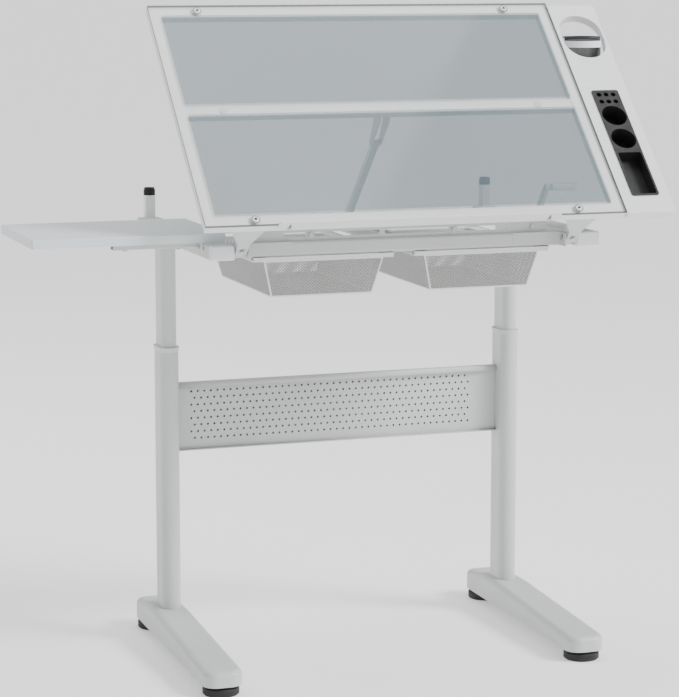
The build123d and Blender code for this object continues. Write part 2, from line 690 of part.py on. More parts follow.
# ---- crank drive: cross shaft, miter gears, lead screws and crank ----
GEAR_TEETH = 12
GEAR_PITCH_RADIUS = 8.0
GEAR_FACE = 3.0
GEAR_BORE = 3.0
GEAR_HUB_RADIUS = 6.0
HUB_BACK = 13.0
CRANK_X = (464.0, 472.0)
CRANK_PIN_Y = -59.0
CRANK_PIN_Z = 977.0
SHAFT_LEFT = -420.0
SCREW_BOTTOM = 460.0


def miter_gear(bore):
    """Straight-toothed 1:1 bevel gear below an apex at the origin."""
    small = (GEAR_PITCH_RADIUS - GEAR_FACE) / GEAR_PITCH_RADIUS
    with BuildPart() as tooth:
        for size in (1.0, small):
            with BuildSketch(Plane.XY.offset(-GEAR_PITCH_RADIUS * size)):
                Polygon(
                    (6.2 * size, -1.15 * size),
                    (8.7 * size, -0.45 * size),
                    (8.7 * size, 0.45 * size),
                    (6.2 * size, 1.15 * size),
                    align=None,
                )
        loft()
    with BuildPart() as gear:
        for size in (1.0, small):
            with BuildSketch(Plane.XY.offset(-GEAR_PITCH_RADIUS * size)):
                Circle(6.8 * size)
        loft()
        with PolarLocations(0, GEAR_TEETH):
            add(tooth.part)
        with BuildSketch(Plane.XY.offset(-HUB_BACK)):
            Circle(GEAR_HUB_RADIUS)
        extrude(amount=HUB_BACK - GEAR_PITCH_RADIUS)
        with BuildSketch(Plane.XY.offset(-HUB_BACK)):
            Circle(bore)
        extrude(amount=HUB_BACK, mode=Mode.SUBTRACT)
    return gear.part


HALF_TOOTH = radians(180 / GEAR_TEETH)
with BuildPart() as shaft_gears:
    for side in SIDES:
        mesh_plane = Plane(
            origin=(side * COLUMN_X, 0, SHAFT_Z),
            x_dir=(0, cos(HALF_TOOTH), sin(HALF_TOOTH)),
            z_dir=(1, 0, 0),
        )
        with Locations(mesh_plane.location):
            add(miter_gear(SHAFT_RADIUS))
save(shaft_gears, "shaft_gears")


def make_lead_screw(side, name):
    """Screw rod with thrust collar, turned neck and a miter gear on top."""
    x = side * COLUMN_X
    steps = (
        (SCREW_BOTTOM, BEARING_TOP + 0.4, SCREW_RADIUS),
        (BEARING_BOTTOM - 6, BEARING_BOTTOM - 0.5, 8),
        (BEARING_TOP + 0.4, SHAFT_Z - GEAR_PITCH_RADIUS + GEAR_FACE, GEAR_BORE),
    )
    with BuildPart() as screw:
        for low, high, radius in steps:
            with BuildSketch(Plane.XY.offset(low)):
                with Locations((x, 0)):
                    Circle(radius)
            extrude(amount=high - low)
        with Locations((x, 0, SHAFT_Z)):
            add(miter_gear(GEAR_BORE))
    save(screw, name)


make_lead_screw(-1, "lead_screw_left")
make_lead_screw(1, "lead_screw_right")


with BuildPart() as cross_shaft:
    with BuildSketch(Plane.YZ.offset(SHAFT_LEFT)):
        with Locations((0, SHAFT_Z)):
            Circle(SHAFT_RADIUS)
    extrude(amount=CRANK_X[1] + 3 - SHAFT_LEFT)
save(cross_shaft, "cross_shaft")

with BuildPart() as crank_arm:
    with BuildSketch(Plane.YZ.offset(CRANK_X[0])):
        with BuildLine():
            Polyline(
                (-9, SHAFT_Z - 5),
                (9, SHAFT_Z + 5),
                (CRANK_PIN_Y + 6.5, CRANK_PIN_Z + 4),
                (CRANK_PIN_Y - 6.5, CRANK_PIN_Z - 4),
                close=True,
            )
        make_face()
        with Locations((0, SHAFT_Z)):
            Circle(11)
        with Locations((CRANK_PIN_Y, CRANK_PIN_Z)):
            Circle(8)
        with Locations((0, SHAFT_Z)):
            Circle(SHAFT_RADIUS, mode=Mode.SUBTRACT)
    extrude(amount=CRANK_X[1] - CRANK_X[0])
    with BuildSketch(Plane.YZ.offset(CRANK_X[1])):
        with Locations((CRANK_PIN_Y, CRANK_PIN_Z)):
            Circle(4)
    extrude(amount=62)
save(crank_arm, "crank_arm")

GRIP_X = (480.0, 539.0)
with BuildPart() as crank_grip:
    with BuildSketch(Plane.XY.offset(CRANK_PIN_Z)):
        with BuildLine():
            Polyline(
                (GRIP_X[0], CRANK_PIN_Y + 4 + RUNNING),
                (GRIP_X[0], CRANK_PIN_Y + 8.5),
                (GRIP_X[1] - 3, CRANK_PIN_Y + 10),
                (GRIP_X[1], CRANK_PIN_Y + 7),
                (GRIP_X[1], CRANK_PIN_Y),
                (GRIP_X[1] - 4, CRANK_PIN_Y),
                (GRIP_X[1] - 4, CRANK_PIN_Y + 4 + RUNNING),
                close=True,
            )
        make_face()
    revolve(axis=Axis((0, CRANK_PIN_Y, CRANK_PIN_Z), (1, 0, 0)))
save(crank_grip, "crank_grip")

# ---- tilting board: welded tube frame, arms, glass ----
MID_RAIL = (293.0, 321.0)
TOP_RAIL = 571.0
BOTTOM_RAIL = 28.0
FRAME_TOP = -GLASS_THICK
PAD_THICK = 1.2
WALL = 1.5
BOLT_X = 346.0
BOLT_ROWS = (13.0, 584.0)
GLASS_HALF = GLASS_WIDTH / 2
LEDGE_SCREW_X = 278.0
LEDGE_SCREW_DROP = 11.5
LEDGE_FACE = -4.3

with BuildPart() as board_frame:
    with BuildSketch(BOARD.offset(FRAME_UNDERSIDE)):
        span(-GLASS_HALF, GLASS_HALF, 0, GLASS_DEPTH)
        inner = GLASS_HALF - FRAME_RAIL
        with Locations((0, (BOTTOM_RAIL + MID_RAIL[0]) / 2)):
            Rectangle(2 * inner, MID_RAIL[0] - BOTTOM_RAIL, mode=Mode.SUBTRACT)
        with Locations((0, (MID_RAIL[1] + TOP_RAIL) / 2)):
            Rectangle(2 * inner, TOP_RAIL - MID_RAIL[1], mode=Mode.SUBTRACT)
    extrude(amount=FRAME_TOP - FRAME_UNDERSIDE)
    with BuildSketch(BOARD.offset(FRAME_TOP - PAD_THICK)):
        with Locations((0, (MID_RAIL[0] + MID_RAIL[1]) / 2)):
            Rectangle(2 * inner, MID_RAIL[1] - MID_RAIL[0])
    extrude(amount=PAD_THICK, mode=Mode.SUBTRACT)
    with BuildSketch(BOARD.offset(FRAME_UNDERSIDE + WALL)):
        for side in SIDES:
            with Locations((side * (GLASS_HALF - FRAME_RAIL / 2), GLASS_DEPTH / 2)):
                Rectangle(FRAME_RAIL - 2 * WALL, GLASS_DEPTH - 2 * WALL)
        for low, high in ((0, BOTTOM_RAIL), MID_RAIL, (TOP_RAIL, GLASS_DEPTH)):
            with Locations((0, (low + high) / 2)):
                Rectangle(GLASS_WIDTH - FRAME_RAIL, high - low - 2 * WALL)
    extrude(amount=FRAME_TOP - FRAME_UNDERSIDE - 2 * WALL - PAD_THICK, mode=Mode.SUBTRACT)
    with BuildSketch(BOARD.offset(FRAME_TOP - WALL - PAD_THICK)):
        with Locations(*[(s * BOLT_X, row) for s in SIDES for row in BOLT_ROWS]):
            Circle(3.05)
    extrude(amount=WALL + PAD_THICK, mode=Mode.SUBTRACT)
    with BuildSketch(BOARD_EDGE):
        with Locations((-LEDGE_SCREW_X, -LEDGE_SCREW_DROP), (LEDGE_SCREW_X, -LEDGE_SCREW_DROP)):
            Circle(2.05)
    extrude(amount=WALL, mode=Mode.SUBTRACT)
save(board_frame, "board_frame")

ARM_X = (345.5, 369.5)
ARM_HALF = 12.0
ARM_SCREW_X = (ARM_X[0] + ARM_X[1]) / 2
ARM_SCREW_DROP = 89.0
ARM_SCREW_RADIUS = 3.0
ARM_FACE = BOARD_EDGE.offset(HINGE_UP_BOARD - ARM_HALF)
ARM_SCREWS = ((-ARM_SCREW_X, -ARM_SCREW_DROP), (ARM_SCREW_X, -ARM_SCREW_DROP))
GUSSET_X = (318.0, 396.0)  # the gusset is wide at the frame and narrows to the arm
GUSSET_DROP = 70.0
GUSSET_THICK = 2.5
with BuildPart() as hinge_arms:
    for side in SIDES:
        with BuildSketch(BOARD_SIDE.offset(side * ARM_X[0])):
            with Locations((HINGE_UP_BOARD, (FRAME_UNDERSIDE - HINGE_DROP) / 2)):
                Rectangle(2 * ARM_HALF, HINGE_DROP + FRAME_UNDERSIDE)
            with Locations((HINGE_UP_BOARD, -HINGE_DROP)):
                Circle(ARM_HALF)
        extrude(amount=side * (ARM_X[1] - ARM_X[0]))
        with BuildSketch(ARM_FACE):
            Polygon(
                (side * GUSSET_X[0], FRAME_UNDERSIDE),
                (side * ARM_X[0], -GUSSET_DROP),
                (side * ARM_X[1], -GUSSET_DROP),
                (side * GUSSET_X[1], FRAME_UNDERSIDE),
                align=None,
            )
        extrude(amount=GUSSET_THICK)
    with BuildSketch(BOARD.offset(FRAME_UNDERSIDE)):
        with Locations((-ARM_SCREW_X, HINGE_UP_BOARD), (ARM_SCREW_X, HINGE_UP_BOARD)):
            Rectangle(20, 19)
    extrude(amount=-(HINGE_DROP + FRAME_UNDERSIDE - 18), mode=Mode.SUBTRACT)
    with BuildSketch(BOARD_SIDE):
        with Locations((HINGE_UP_BOARD, -HINGE_DROP)):
            Circle(PIN_RADIUS + RUNNING)
    extrude(amount=RAIL_INNER_X, both=True, mode=Mode.SUBTRACT)
    with BuildSketch(ARM_FACE):
        with Locations(*ARM_SCREWS):
            Circle(ARM_SCREW_RADIUS)
    extrude(amount=8, mode=Mode.SUBTRACT)
save(hinge_arms, "hinge_arms")

with BuildPart() as arm_screws:
    for radius, length in ((7, -1.2), (4.5, -4), (ARM_SCREW_RADIUS, 7)):
        with BuildSketch(ARM_FACE):
            with Locations(*ARM_SCREWS):
                Circle(radius)
        extrude(amount=length)
save(arm_screws, "arm_screws")

with BuildPart() as glass_top:
    with BuildSketch(BOARD.offset(-GLASS_THICK)):
        with Locations((0, GLASS_DEPTH / 2)):
            RectangleRounded(GLASS_WIDTH, GLASS_DEPTH, 3)
        with Locations(*[(s * BOLT_X, row) for s in SIDES for row in BOLT_ROWS]):
            Circle(3.5, mode=Mode.SUBTRACT)
    extrude(amount=GLASS_THICK)
    glass_faces = glass_top.faces().sort_by(Axis(board_origin, (0, -sin(tilt), cos(tilt))))
    chamfer(glass_faces[-1].edges().filter_by(GeomType.LINE), 0.8)
save(glass_top, "glass_top")

with BuildPart() as glass_bolts:
    bolt_points = [(s * BOLT_X, row) for s in SIDES for row in BOLT_ROWS]
    with BuildSketch(BOARD):
        with Locations(*bolt_points):
            Circle(8)
    extrude(amount=1.5)
    with BuildSketch(BOARD.offset(1.5)):
        with Locations(*bolt_points):
            RegularPolygon(4, 6)
    extrude(amount=2.5)
    with BuildSketch(BOARD.offset(-14)):
        with Locations(*bolt_points):
            Circle(3)
    extrude(amount=14)
save(glass_bolts, "glass_bolts")

with BuildPart() as glass_pads:
    with BuildSketch(BOARD.offset(FRAME_TOP - PAD_THICK)):
        with Locations((-BOLT_X, 307), (BOLT_X, 307)):
            Circle(9)
    extrude(amount=PAD_THICK)
save(glass_pads, "glass_pads")

with BuildPart() as prop_bracket:
    for side in SIDES:
        with BuildSketch(BOARD_SIDE.offset(side * CLEVIS_X[0])):
            Polygon(
                (286, FRAME_UNDERSIDE),
                (MID_RAIL[1], FRAME_UNDERSIDE),
                (PROP_UP_BOARD + 7, -HINGE_DROP),
                (PROP_UP_BOARD - 7, -HINGE_DROP),
                align=None,
            )
            with Locations((PROP_UP_BOARD, -HINGE_DROP)):
                Circle(7)
        extrude(amount=side * (CLEVIS_X[1] - CLEVIS_X[0]))
    with BuildSketch(BOARD.offset(FRAME_UNDERSIDE - 3)):
        span(-CLEVIS_X[1], CLEVIS_X[1], 296, MID_RAIL[1])
    extrude(amount=3)
    with BuildSketch(BOARD_SIDE):
        with Locations((PROP_UP_BOARD, -HINGE_DROP)):
            Circle(PROP_PIN_RADIUS)
    extrude(amount=CLEVIS_X[1] + 1, both=True)
save(prop_bracket, "prop_bracket")

# ---- right side panel, its brackets, organizer and cup ----
CUP_HOLE = (97.0, 126.0)
CUP_PIVOT_DROP = PANEL_THICK / 2
cup_pivot = BOARD_SIDE.from_local_coords((CUP_UP_BOARD, -CUP_PIVOT_DROP, 0))
PANEL_LEFT = GLASS_HALF + 0.4
CUP_PIN_RADIUS = 2.5
ORGANIZER = (475.0, 537.0, 40.0, 336.0)
BRACKET_ROWS = (20.0, 370.0, 580.0)
BRACKET_SHEET = 3.0
BRACKET_SIDE = 24.0
BRACKET_SCREW_X = PANEL_LEFT + 14
with BuildPart() as side_panel:
    with BuildSketch(BOARD.offset(-PANEL_THICK)):
        with Locations(((PANEL_LEFT + PANEL_RIGHT) / 2, 293.5)):
            RectangleRounded(PANEL_RIGHT - PANEL_LEFT, 597, 4)
        with Locations((CUP_X, CUP_UP_BOARD)):
            SlotOverall(CUP_HOLE[1], CUP_HOLE[0], rotation=90, mode=Mode.SUBTRACT)
        with Locations((ORGANIZER_X, 188)):
            RectangleRounded(58.6, 292.6, 4, mode=Mode.SUBTRACT)
    extrude(amount=PANEL_THICK)
    with BuildSketch(BOARD_SIDE.offset(CUP_X)):
        with Locations((CUP_UP_BOARD, -CUP_PIVOT_DROP)):
            Circle(CUP_PIN_RADIUS + RUNNING)
    extrude(amount=CUP_HOLE[0] / 2 + 5, both=True, mode=Mode.SUBTRACT)
    with BuildSketch(BOARD.offset(-PANEL_THICK)):
        with Locations(*[(BRACKET_SCREW_X, up_board) for up_board in BRACKET_ROWS]):
            Circle(2)
    extrude(amount=9, mode=Mode.SUBTRACT)
save(side_panel, "side_panel")

with BuildPart() as panel_brackets:
    for up_board in BRACKET_ROWS:
        with BuildSketch(BOARD.offset(FRAME_UNDERSIDE)):
            with Locations((GLASS_HALF + BRACKET_SHEET / 2, up_board)):
                Rectangle(BRACKET_SHEET, BRACKET_SIDE)
        extrude(amount=-PANEL_THICK - FRAME_UNDERSIDE)
        with BuildSketch(BOARD.offset(-PANEL_THICK - BRACKET_SHEET)):
            with Locations((GLASS_HALF + BRACKET_SIDE / 2, up_board)):
                Rectangle(BRACKET_SIDE, BRACKET_SIDE)
            with Locations((BRACKET_SCREW_X, up_board)):
                Circle(2.1, mode=Mode.SUBTRACT)
        extrude(amount=BRACKET_SHEET)
save(panel_brackets, "panel_brackets")

SCREW_HEAD = 2.5
LEDGE_SCREWS = ((-LEDGE_SCREW_X, -LEDGE_SCREW_DROP), (LEDGE_SCREW_X, -LEDGE_SCREW_DROP))
with BuildPart() as board_screws:
    places = [(BRACKET_SCREW_X, up_board) for up_board in BRACKET_ROWS]
    with BuildSketch(BOARD.offset(-PANEL_THICK - BRACKET_SHEET - SCREW_HEAD)):
        with Locations(*places):
            Circle(4)
    extrude(amount=SCREW_HEAD)
    with BuildSketch(BOARD.offset(-PANEL_THICK - BRACKET_SHEET)):
        with Locations(*places):
            Circle(2)
    extrude(amount=11)
    for radius, length in ((4, -SCREW_HEAD), (2, 10)):
        with BuildSketch(BOARD_EDGE.offset(LEDGE_FACE)):
            with Locations(*LEDGE_SCREWS):
                Circle(radius)
        extrude(amount=length)
save(board_screws, "board_screws")

WELL_RADIUS = 27.6
WELL_WALL = 1.2
WELLS = (262.5, 197.0)
PEN_HOLE_RADIUS = 5.5
PEN_HOLES = [(ORGANIZER_X + dx, s) for dx in (-16.5, 0, 16.5) for s in (303, 323)]
TRAY_BAY = (101.0, 53.0, 114.0)
with BuildPart() as organizer:
    organizer_mid = (ORGANIZER[2] + ORGANIZER[3]) / 2
    with BuildSketch(BOARD):
        with Locations((ORGANIZER_X, organizer_mid)):
            RectangleRounded(ORGANIZER[1] - ORGANIZER[0], ORGANIZER[3] - ORGANIZER[2], 5)
    extrude(amount=2.5)
    with BuildSketch(BOARD.offset(-38)):
        with Locations(*[(ORGANIZER_X, s) for s in WELLS]):
            Circle(WELL_RADIUS + WELL_WALL)
    extrude(amount=38)
    with BuildSketch(BOARD.offset(-36)):
        with Locations(*PEN_HOLES):
            Circle(PEN_HOLE_RADIUS + 1.5)
    extrude(amount=36)
    with BuildSketch(BOARD.offset(-27)):
        with Locations((ORGANIZER_X, TRAY_BAY[0])):
            RectangleRounded(TRAY_BAY[1] + 4, TRAY_BAY[2] + 4, 5)
    extrude(amount=27)
    with BuildSketch(BOARD.offset(-36)):
        with Locations(*[(ORGANIZER_X, s) for s in WELLS]):
            Circle(WELL_RADIUS)
    extrude(amount=40, mode=Mode.SUBTRACT)
    with BuildSketch(BOARD.offset(-34)):
        with Locations(*PEN_HOLES):
            Circle(PEN_HOLE_RADIUS)
    extrude(amount=40, mode=Mode.SUBTRACT)
    with BuildSketch(BOARD.offset(-25)):
        with Locations((ORGANIZER_X, TRAY_BAY[0])):
            RectangleRounded(TRAY_BAY[1], TRAY_BAY[2], 4)
    extrude(amount=30, mode=Mode.SUBTRACT)
save(organizer, "organizer")

CUP_TOP_RADIUS = 42.0
CUP_BOTTOM_RADIUS = 34.0
CUP_RIM_RISE = 7.0
CUP_DEPTH = 88.0
CUP_WALL = 1.2
RING = (-16.0, -2.0)
RING_RADIUS = (41.8, 43.8)
STRAP_HALF = 7.0
cup_y = cup_pivot.Y
cup_z = cup_pivot.Z
with BuildPart() as pencil_cup:
    with BuildSketch(Plane.YZ.offset(CUP_X)):
        with BuildLine():
            top = cup_z + CUP_RIM_RISE
            bottom = top - CUP_DEPTH
            Polyline(
                (cup_y, bottom),
                (cup_y + CUP_BOTTOM_RADIUS, bottom),
                (cup_y + CUP_TOP_RADIUS, top),
                (cup_y + CUP_TOP_RADIUS - CUP_WALL, top),
                (cup_y + CUP_BOTTOM_RADIUS - CUP_WALL, bottom + CUP_WALL),
                (cup_y, bottom + CUP_WALL),
                close=True,
            )
        make_face()
    revolve(axis=Axis((CUP_X, cup_y, 0), (0, 0, 1)))
save(pencil_cup, "pencil_cup")

with BuildPart() as cup_holder:
    with BuildSketch(Plane.XY.offset(cup_z + RING[0])):
        with Locations((CUP_X, cup_y)):
            Circle(RING_RADIUS[1])
            Circle(RING_RADIUS[0], mode=Mode.SUBTRACT)
    extrude(amount=RING[1] - RING[0])
    strap_bottom = cup_z + CUP_RIM_RISE - CUP_DEPTH - 2
    for side in SIDES:
        with BuildSketch(Plane.XY.offset(cup_z - 10)):
            with Locations((CUP_X + side * 44.2, cup_y)):
                Rectangle(2.8, 12)
        extrude(amount=14)
        with BuildSketch(Plane.XY.offset(strap_bottom)):
            with Locations((CUP_X + side * 43.0, cup_y)):
                Rectangle(1.6, 2 * STRAP_HALF)
        extrude(amount=cup_z + RING[0] + 4 - strap_bottom)
        with BuildSketch(Plane.YZ.offset(CUP_X + side * 45)):
            with Locations((cup_y, cup_z)):
                Circle(CUP_PIN_RADIUS)
        extrude(amount=side * 7.6)
    with BuildSketch(Plane.XY.offset(strap_bottom)):
        with Locations((CUP_X, cup_y)):
            Rectangle(87.6, 2 * STRAP_HALF)
    extrude(amount=1.8)
save(cup_holder, "cup_holder")

# ---- pencil ledge along the lower edge ----
LEDGE_HALF = 303.0
LEDGE_TOP = 7.0
LEDGE_BOTTOM = -15.0
LEDGE_TRAVEL = 10.0
with BuildPart() as pencil_ledge:
    with BuildSketch(BOARD_EDGE.offset(-4)):
        with Locations((0, (LEDGE_TOP + LEDGE_BOTTOM) / 2)):
            RectangleRounded(2 * LEDGE_HALF, LEDGE_TOP - LEDGE_BOTTOM, 9)
        slot_drop = LEDGE_TRAVEL / 2 - LEDGE_SCREW_DROP
        with Locations((-LEDGE_SCREW_X, slot_drop), (LEDGE_SCREW_X, slot_drop)):
            SlotCenterToCenter(LEDGE_TRAVEL, 4.6, rotation=90, mode=Mode.SUBTRACT)
    extrude(amount=3)
save(pencil_ledge, "pencil_ledge")

# ---- drawers ----
BASKET_TOP = (252.0, 380.0)
BASKET_FLOOR = (214.0, 350.0)
BASKET_CORNER = 16.0
BASKET_WALL = 1.5
GROOVE = (882.5, 886.5)


def make_drawer(side, rim_name, basket_name):
    """White rim with a runner groove each side, and the tapered basket."""
    x = side * DRAWER_X
    y = DRAWER_FRONT + DRAWER_DEPTH / 2
    basket_y = y - 6
    with BuildPart() as rim:
        with BuildSketch(Plane.XY.offset(DRAWER_RIM_BOTTOM)):
            with Locations((x, y)):
                RectangleRounded(DRAWER_WIDTH, DRAWER_DEPTH, 4)
            with Locations((x, basket_y)):
                RectangleRounded(BASKET_TOP[0] - 4, BASKET_TOP[1] - 4, 14, mode=Mode.SUBTRACT)
        extrude(amount=DRAWER_RIM_TOP - DRAWER_RIM_BOTTOM)
        with BuildSketch(Plane.XY.offset(GROOVE[0])):
            for edge in SIDES:
                with Locations((x + edge * (DRAWER_WIDTH / 2 - 4), y + 3)):
                    Rectangle(10, DRAWER_DEPTH)
        extrude(amount=GROOVE[1] - GROOVE[0], mode=Mode.SUBTRACT)
    save(rim, rim_name)
    with BuildPart() as basket:
        for wall, mode in ((0, Mode.ADD), (BASKET_WALL, Mode.SUBTRACT)):
            with BuildSketch(Plane.XY.offset(DRAWER_RIM_BOTTOM)):
                with Locations((x, basket_y)):
                    RectangleRounded(
                        BASKET_TOP[0] - 2 * wall, BASKET_TOP[1] - 2 * wall, BASKET_CORNER - wall
                    )
            with BuildSketch(Plane.XY.offset(BASKET_BOTTOM + wall)):
                with Locations((x, basket_y)):
                    RectangleRounded(
                        BASKET_FLOOR[0] - 2 * wall, BASKET_FLOOR[1] - 2 * wall, BASKET_CORNER - wall
                    )
            loft(mode=mode)
    save(basket, basket_name)


make_drawer(-1, "drawer_left_rim", "drawer_left_basket")
make_drawer(1, "drawer_right_rim", "drawer_right_basket")
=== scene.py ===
import json
import math

import bmesh
import bpy
from mathutils import Matrix, Vector


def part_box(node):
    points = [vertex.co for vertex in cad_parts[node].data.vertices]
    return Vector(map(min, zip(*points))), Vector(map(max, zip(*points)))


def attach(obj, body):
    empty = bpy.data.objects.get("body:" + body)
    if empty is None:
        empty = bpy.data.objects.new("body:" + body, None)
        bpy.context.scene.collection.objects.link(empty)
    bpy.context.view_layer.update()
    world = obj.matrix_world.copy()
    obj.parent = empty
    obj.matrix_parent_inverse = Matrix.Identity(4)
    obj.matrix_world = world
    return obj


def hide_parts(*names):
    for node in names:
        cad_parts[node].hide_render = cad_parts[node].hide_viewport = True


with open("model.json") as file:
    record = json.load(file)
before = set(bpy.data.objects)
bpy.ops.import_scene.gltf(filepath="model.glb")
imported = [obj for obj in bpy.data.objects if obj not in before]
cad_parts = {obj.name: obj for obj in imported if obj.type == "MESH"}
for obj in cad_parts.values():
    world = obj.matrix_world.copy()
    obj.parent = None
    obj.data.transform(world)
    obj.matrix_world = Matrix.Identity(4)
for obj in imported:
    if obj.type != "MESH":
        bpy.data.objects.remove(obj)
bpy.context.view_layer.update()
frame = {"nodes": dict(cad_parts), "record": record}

TILT = math.radians(44)
MM = 0.001


# ---------------------------------------------------------------- materials
def start_material(name):
    """New node material: its tree, its shader and object-space coordinates."""
    material = bpy.data.materials.new(name)
    material.use_nodes = True
    tree = material.node_tree
    shader = tree.nodes["Principled BSDF"]
    coords = tree.nodes.new("ShaderNodeTexCoord").outputs["Object"]
    return material, tree, shader, coords


def noise(tree, coords, scale, detail=2.0, stretch=(1, 1, 1)):
    """Noise factor in object space, optionally stretched into grain."""
    mapping = tree.nodes.new("ShaderNodeMapping")
    mapping.inputs["Scale"].default_value = stretch
    tree.links.new(coords, mapping.inputs["Vector"])
    node = tree.nodes.new("ShaderNodeTexNoise")
    node.inputs["Scale"].default_value = scale
    node.inputs["Detail"].default_value = detail
    tree.links.new(mapping.outputs["Vector"], node.inputs["Vector"])
    return node.outputs["Fac"]


def spread(tree, factor, low, high):
    """Maps the middle of a noise factor to a range of numbers."""
    node = tree.nodes.new("ShaderNodeMapRange")
    node.inputs["From Min"].default_value = 0.3
    node.inputs["From Max"].default_value = 0.7
    node.inputs["To Min"].default_value = low
    node.inputs["To Max"].default_value = high
    tree.links.new(factor, node.inputs["Value"])
    return node.outputs["Result"]


def tint(tree, factor, first, second):
    """Colour between two tones by a noise factor."""
    ramp = tree.nodes.new("ShaderNodeValToRGB")
    ramp.color_ramp.elements[0].position = 0.32
    ramp.color_ramp.elements[1].position = 0.68
    ramp.color_ramp.elements[0].color = (*first, 1)
    ramp.color_ramp.elements[1].color = (*second, 1)
    tree.links.new(factor, ramp.inputs["Fac"])
    return ramp.outputs["Color"]


def bump(tree, shader, height, strength, distance):
    """Surface relief from a noise factor."""
    node = tree.nodes.new("ShaderNodeBump")
    node.inputs["Strength"].default_value = strength
    node.inputs["Distance"].default_value = distance
    tree.links.new(height, node.inputs["Height"])
    tree.links.new(node.outputs["Normal"], shader.inputs["Normal"])


def shaded(color, amount):
    """A colour made lighter or darker by a factor."""
    return tuple(min(1.0, channel * amount) for channel in color)


def set_tone(tree, shader, factor, color, darkest, lightest):
    """Base colour drifting between two shades of one colour."""
    tones = tint(tree, factor, shaded(color, darkest), shaded(color, lightest))
    tree.links.new(tones, shader.inputs["Base Color"])


def set_gloss(tree, shader, factor, low, high):
    """Roughness drifting between two values."""
    tree.links.new(spread(tree, factor, low, high), shader.inputs["Roughness"])


def powder_coat(name, color, roughness=0.42):
    """Sprayed enamel: orange-peel relief, faint tone drift, uneven gloss."""
    material, tree, shader, coords = start_material(name)
    set_tone(tree, shader, noise(tree, coords, 5, 4), color, 0.965, 1.02)
    set_gloss(tree, shader, noise(tree, coords, 38, 5), roughness - 0.06, roughness + 0.08)
    bump(tree, shader, noise(tree, coords, 620, 2), 0.12, 0.0004)
    return material


def laminate(name, color, roughness=0.38):
    """Paper laminate on board: long faint grain and a fine press texture."""
    material, tree, shader, coords = start_material(name)
    grain = noise(tree, coords, 22, 6, (1.0, 14.0, 14.0))
    set_tone(tree, shader, grain, color, 0.955, 1.015)
    set_gloss(tree, shader, noise(tree, coords, 60, 4), roughness - 0.05, roughness + 0.08)
    bump(tree, shader, noise(tree, coords, 420, 4), 0.16, 0.0003)
    return material


def moulded(name, color, roughness=0.4, grain=900):
    """Moulded plastic: fine spark-eroded texture and slight gloss changes."""
    material, tree, shader, coords = start_material(name)
    set_tone(tree, shader, noise(tree, coords, 9, 3), color, 0.93, 1.05)
    set_gloss(tree, shader, noise(tree, coords, 70, 4), roughness - 0.07, roughness + 0.09)
    bump(tree, shader, noise(tree, coords, grain, 2), 0.22, 0.0003)
    return material


def bare_metal(name, color, roughness=0.3):
    """Plated or turned metal: fine drawn lines and dull patches."""
    material, tree, shader, coords = start_material(name)
    shader.inputs["Metallic"].default_value = 1.0
    lines = noise(tree, coords, 260, 3, (0.15, 1, 1))
    set_tone(tree, shader, lines, color, 0.86, 1.08)
    set_gloss(tree, shader, noise(tree, coords, 90, 5), roughness - 0.08, roughness + 0.14)
    bump(tree, shader, lines, 0.1, 0.0002)
    return material


def tinted_glass(name, color, alpha):
    """Tempered sheet glass with a faint blue-grey tint and a wavy surface."""
    material, tree, shader, coords = start_material(name)
    set_tone(tree, shader, noise(tree, coords, 2.2, 3), color, 0.93, 1.06)
    set_gloss(tree, shader, noise(tree, coords, 7, 4), 0.05, 0.12)
    shader.inputs["Alpha"].default_value = alpha
    shader.inputs["IOR"].default_value = 1.5
    bump(tree, shader, noise(tree, coords, 3, 1), 0.03, 0.001)
    return material


looks = {
    "frame_paint": powder_coat("frame paint", (0.56, 0.575, 0.57)),
    "frame_white": powder_coat("white frame coat", (0.78, 0.80, 0.78), 0.38),
    "collar_plastic": moulded("collar plastic", (0.60, 0.615, 0.61), 0.5),
    "white_plastic": moulded("white plastic", (0.80, 0.84, 0.87), 0.42),
    "white_board": laminate("white panel laminate", (0.80, 0.815, 0.815)),
    "grey_board": laminate("grey shelf laminate", (0.70, 0.75, 0.78)),
    "white_wire": powder_coat("white enamel", (0.80, 0.80, 0.795), 0.36),
    "ledge_paint": powder_coat("ledge paint", (0.74, 0.75, 0.745), 0.36),
    "grip_plastic": moulded("grip plastic", (0.72, 0.735, 0.73), 0.35),
    "black_rubber": moulded("black rubber", (0.012, 0.012, 0.013), 0.62, 500),
    "black_plastic": moulded("black plastic", (0.016, 0.016, 0.017), 0.4),
    "black_mesh": powder_coat("black mesh enamel", (0.018, 0.018, 0.02), 0.36),
    # Window glass: the sheet's blue-grey tint, darkened further as painted shade of the space under the
    # board.
    "glass": tinted_glass("tinted glass with painted shade", (0.13, 0.185, 0.21), 0.52),
    "clear_pad": moulded("clear vinyl pad", (0.62, 0.66, 0.66), 0.2),
    "zinc_steel": bare_metal("zinc steel", (0.52, 0.52, 0.51)),
    "brass": bare_metal("turned brass", (0.72, 0.52, 0.22), 0.26),
    "nylon": moulded("natural nylon", (0.74, 0.72, 0.66), 0.45),
}

# looks of single pieces, which share the slots above
# The basket net takes a mid grey instead of the white enamel of its seams: painted shade of the dark
# inside of the baskets seen through the openings.
net_coat_painted_shade = powder_coat("net enamel with painted shade", (0.36, 0.36, 0.355), 0.4)
ring_vinyl = moulded("grey vinyl ring", (0.26, 0.28, 0.28), 0.35)
# Near-black steel for the flat hexagon on each clamp dome: painted shade of the socket hole.
socket_steel_painted_shade = bare_metal("screw steel with painted socket shade", (0.05, 0.05, 0.052), 0.38)
glass_border = tinted_glass("glass over the frame", (0.55, 0.62, 0.63), 0.08)
glass_edge = tinted_glass("glass edge", (0.02, 0.045, 0.042), 0.85)

for entry in frame["record"]["subparts"]:
    mesh = frame["nodes"][entry["node"]].data
    mesh.materials.clear()
    mesh.materials.append(looks[entry["material_slot"]])
    mesh.shade_smooth()
    mesh.set_sharp_from_angle(angle=math.radians(32))


